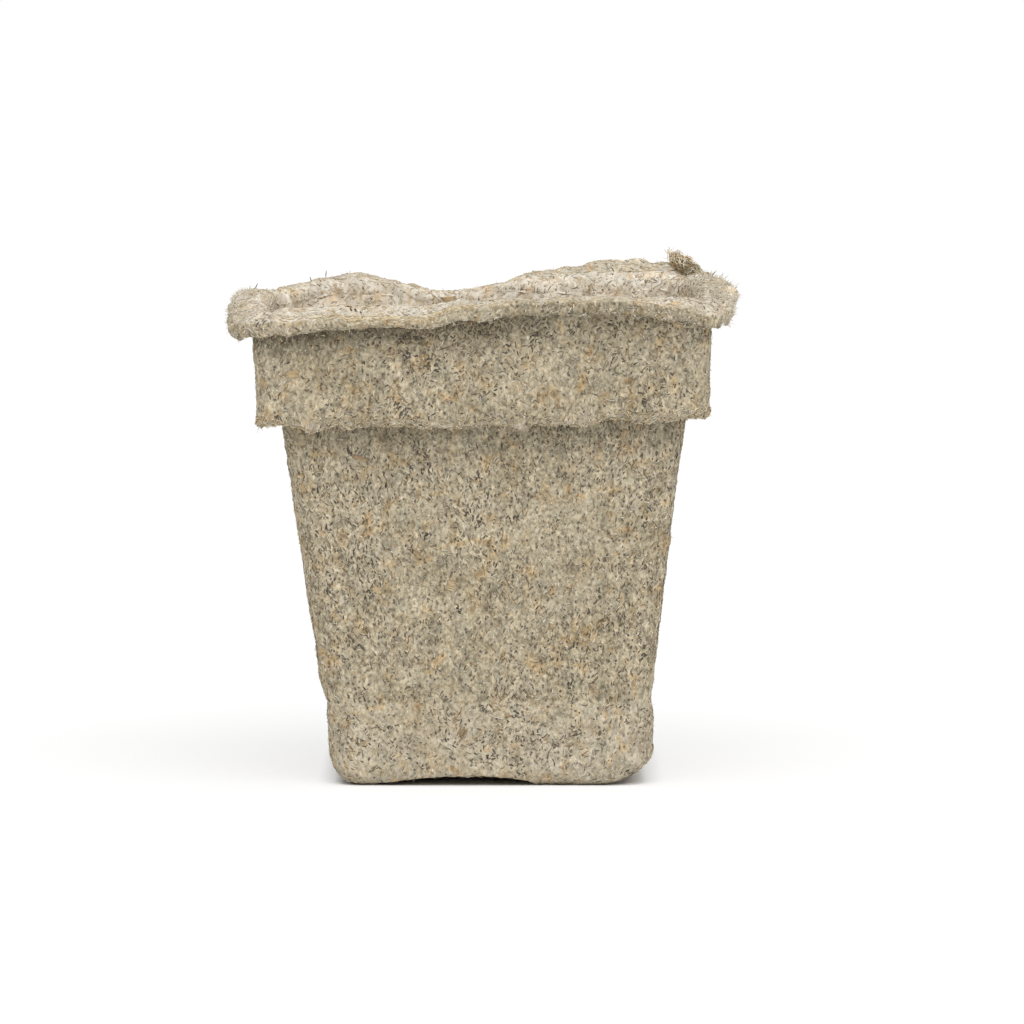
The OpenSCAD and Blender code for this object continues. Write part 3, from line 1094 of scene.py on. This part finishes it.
cream = [(3, (0.59, 0.53, 0.41)), (2, (0.67, 0.615, 0.505)), (1, (0.54, 0.465, 0.335))]
ivory = [(2, (0.69, 0.64, 0.54)), (1, (0.61, 0.555, 0.445))]
white = [(2, (0.78, 0.74, 0.65)), (1, (0.70, 0.65, 0.55))]
straw = [(2, (0.60, 0.50, 0.33)), (2, (0.68, 0.60, 0.44)), (1, (0.48, 0.37, 0.22))]


def clumps(points):
    """Density of the flecks: they lie in loose clumps, thickest under the flange at the left, where
    their crowd also adds painted shade, along the collar's lower edge and along the pinch line."""
    x, z = points[..., 0], points[..., 2]
    uneven = 0.6 + 0.9 * lattice_noise(points, 3.0, 21) + 0.6 * lattice_noise(points, 9, 22)
    lines = 2.8 * (1 - x / collar_top) * bell(z - flange_z + 2, 2)
    lines = lines + bell(z - shoulder_z, 1) + 0.8 * bell(z - foot_h, 1)
    return np.clip(uneven, 0.08, 3) * (1 + lines)


def near(*places):
    """Density that is highest at places round the pot: (angle, half length) in degrees."""
    return lambda points: sum(angle_bell(points, at, spread) for at, spread in places)


# The right end of the rim is combed out, both its ends are fuzzy and its front lip is folded over
right_end = near((frayed_end[0], frayed_end[2]))
both_ends = near((180, 35), (frayed_end[0], frayed_end[2]))
folded_lip = near((-108, 14))

kinds = {
    "bark_flecks": Strands(4, 0.4),
    "bark_clusters": Strands(4, 0.3),
    "dust_flecks": Strands(4, 0.4),
    "dust_flecks_inside": Strands(4, 0.4),
    "dark_threads": Strands(5),
    "tan_slivers": Strands(4, 0.4),
    "wood_chips": Strands(5, 0.5),
    "pale_flecks": Strands(4, 0.5),
    "pale_flecks_inside": Strands(4, 0.5),
    "pale_fibres": Strands(6),
    "pale_fibres_inside": Strands(6),
    "fuzz": Strands(5),
    "fringes": Strands(5),
    "crest_fibres": Strands(9),
    "stray_hairs": Strands(5),
}
for zone, skin in skins.items():
    on_rim = zone == "rim_flange"
    upright = 45 if zone == "floor_panel" else 90
    turn = {"walls": 45, "rim_flange": 60}.get(zone, 85)
    thin_share = 0.4 if on_rim else 1.0
    for face in ("outside", "inside"):
        if face not in skin.faces:
            continue
        outer = face == "outside" and not on_rim
        where = "" if outer else "_inside"
        dark_share = 1.0 if outer else 0.08
        dust_share = 1.3 if on_rim else 1.0 if outer else 0.65
        dust_width = (0.2, 0.45) if outer else (0.3, 0.75)
        dusts = dust if outer else faded
        pales = cream if outer else ivory
        crowd = clumps if outer else None
        here = skin, face
        lay(kinds["bark_flecks"], *here, 0.26 * dark_share, (0.35, 1.0), (0.25, 0.45), bark, upright, turn,
            curl=0, density=crowd)
        lay(kinds["bark_clusters"], *here, 0.06 * dark_share, (0.4, 1.1), (0.3, 0.6), slate, upright, turn,
            curl=0, density=crowd, bunch=5)
        lay(kinds["dust_flecks" + where], *here, 0.6 * dust_share, (0.4, 1.1), dust_width, dusts, upright,
            turn, curl=0, density=crowd)
        lay(kinds["dark_threads"], *here, 0.1 * dark_share, (0.7, 2.0), (0.08, 0.14), bark, upright, turn)
        lay(kinds["tan_slivers"], *here, 0.08, (0.5, 1.7), (0.25, 0.6), tan, upright, 80, curl=0)
        split_chips(kinds["wood_chips"], *here, 0.0022, (1.4, 3.2), (0.6, 1.3), chip)
        lay(kinds["pale_flecks" + where], *here, 0.5, (0.4, 1.3), (0.16, 0.32), pales, upright, 80)
        lay(kinds["pale_fibres" + where], *here, 0.2 * thin_share, (1.2, 4.0), (0.08, 0.14), pales, upright,
            90, 1.2, bow=0.12)
        if face == "outside":
            lay(kinds["fuzz"], *here, 0.3 * thin_share, (0.4, 1.3), (0.05, 0.08), pales, upright, 90, 1.0,
                stand=0.5)

# The frayed hem of the collar, and the torn edge and the top of the rim
collar, rim = skins["collar"], skins["rim_flange"]
fringes = kinds["fringes"]
fringe(fringes, collar, "hem", 1.6, (0.2, 0.9), (0.06, 0.12), cream, out=0.3, down=0.5, astray=0.5)
lay(fringes, collar, "hem", 3.2, (0.6, 2.0), (0.1, 0.2), straw, 0, 70, 1.5, bow=0.35)
fringe(fringes, rim, "edge", 0.9, (0.3, 1.0), (0.04, 0.08), cream, astray=0.6)
fringe(fringes, rim, "edge", 0.4, (0.4, 1.3), (0.05, 0.1), cream, astray=0.35, density=right_end)
lay(fringes, rim, "top", 0.35, (0.8, 2.4), (0.07, 0.13), cream, spread=40, stand=0.3, density=right_end)
fringe(fringes, rim, "top", 0.25, (0.3, 1.0), (0.04, 0.08), cream, astray=0.8)
lay(kinds["dust_flecks_inside"], rim, "top", 0.2, (0.5, 1.6), (0.2, 0.4), dust, density=right_end)
fringe(fringes, rim, "edge", 1.6, (0.3, 1.1), (0.04, 0.07), white, astray=1.0, density=both_ends)
crest = kinds["crest_fibres"]
lay(crest, rim, "crest", 0.3, (1.2, 3.5), (0.07, 0.14), straw, 0, 30, 0.4, bow=0.1)
lay(crest, rim, "top", 0.12, (1.0, 3), (0.07, 0.14), straw, 45, 90, 0.8, bow=0.1)
lay(crest, rim, "crest", 0.35, (1.2, 4), (0.12, 0.24), straw, 0, 25, 0.3, bow=0.15, density=folded_lip)

# Dark hairs that stand up on the rim: [x, y, length, lean to the right]
stray_hairs = [[-26.7, 37.5, 1.4, 0.1], [-29.3, 37.5, 0.9, -0.2], [-40.0, 35, 1.5, 0.4],
               [22.4, 37.5, 1.1, -0.6], [42.0, 20, 1.5, 0.7]]
hair_width = 0.16
for x, y, length, lean in stray_hairs:
    stray_hair(kinds["stray_hairs"], rim, "top", x, y, length, lean, bark[0][1])

for name, strands in kinds.items():
    add_piece(strands.piece(name), loose_fibre)

# The tuft: a matted core in the form of a bent drop, and fibres wound round it
tuft_middle = sum(node_box("fibre_tuft")) / 2
tuft_head = tuft_middle + (-1.4, -0.2, 0.4)
tuft_tail = tuft_middle + (2.8, -4.2, -1.6)
tuft_bow = -0.2
tuft_thick, tuft_thin = 1.15, 0.6
tuft_lift = 0.5
# Share of the tuft's length that is its rust-coloured head
tuft_rusty = 0.4


def on_tuft(places):
    """Places round the unit ball, its x axis along the tuft, as places on the tuft."""
    share = (places[..., :1] + 1) / 2
    spine = tuft_head + (tuft_tail - tuft_head) * share + tuft_bow * np.sin(np.pi * share) * (0.5, 0, 0.85)
    thick = tuft_thick + (tuft_thin - tuft_thick) * share
    along = unit(tuft_tail - tuft_head)
    side = unit(np.cross(along, (0, 1, 0)))
    points = spine + thick * (places[..., 1:2] * (0, 1, 0) + places[..., 2:] * side)
    lumps = 0.5 * lattice_noise(points, 1.5, 31) + 0.25 * lattice_noise(points, 0.7, 32)
    return points + lumps[..., None] * places


def tuft_core():
    ball = bmesh.new()
    bmesh.ops.create_icosphere(ball, subdivisions=5, radius=1)
    mesh = bpy.data.meshes.new("tuft_core")
    ball.to_mesh(mesh)
    ball.free()
    places = np.zeros(len(mesh.vertices) * 3)
    mesh.vertices.foreach_get("co", places)
    points = on_tuft(places.reshape(-1, 3)) * MM
    mesh.vertices.foreach_set("co", points.astype(np.float32).ravel())
    mesh.update()
    mesh.shade_smooth()
    return new_object("tuft_core", mesh)


def tuft_fibres(count):
    """Fibres wound round the tuft, some with an end that stands off."""
    strands = Strands(8)
    along = strands.along[None, :, None]
    lengthwise = (0.6, 1, 1)
    start = unit(rng.normal(size=(count, 1, 3)))
    way = rng.normal(size=(count, 1, 3)) * lengthwise
    curl = rng.normal(size=(count, 1, 3)) * lengthwise
    lift = 1 + tuft_lift * rng.random((count, 1, 1))
    flare = 0.9 * rng.random((count, 1, 1)) ** 2 * along ** 2
    places = unit(start + way * along + curl * along ** 2) * (lift + flare)
    rusty = start[:, 0, :1] < 2 * tuft_rusty - 1
    tints = np.where(rusty, pick(rust, count), pick(olive, count))
    strands.add(on_tuft(places), unit(places), between((0.08, 0.18), count), tints)
    return strands.piece("tuft_fibres")


add_piece(tuft_core(), tuft_material("matted_fibre"), replaced="fibre_tuft")
add_piece(tuft_fibres(900), loose_fibre)
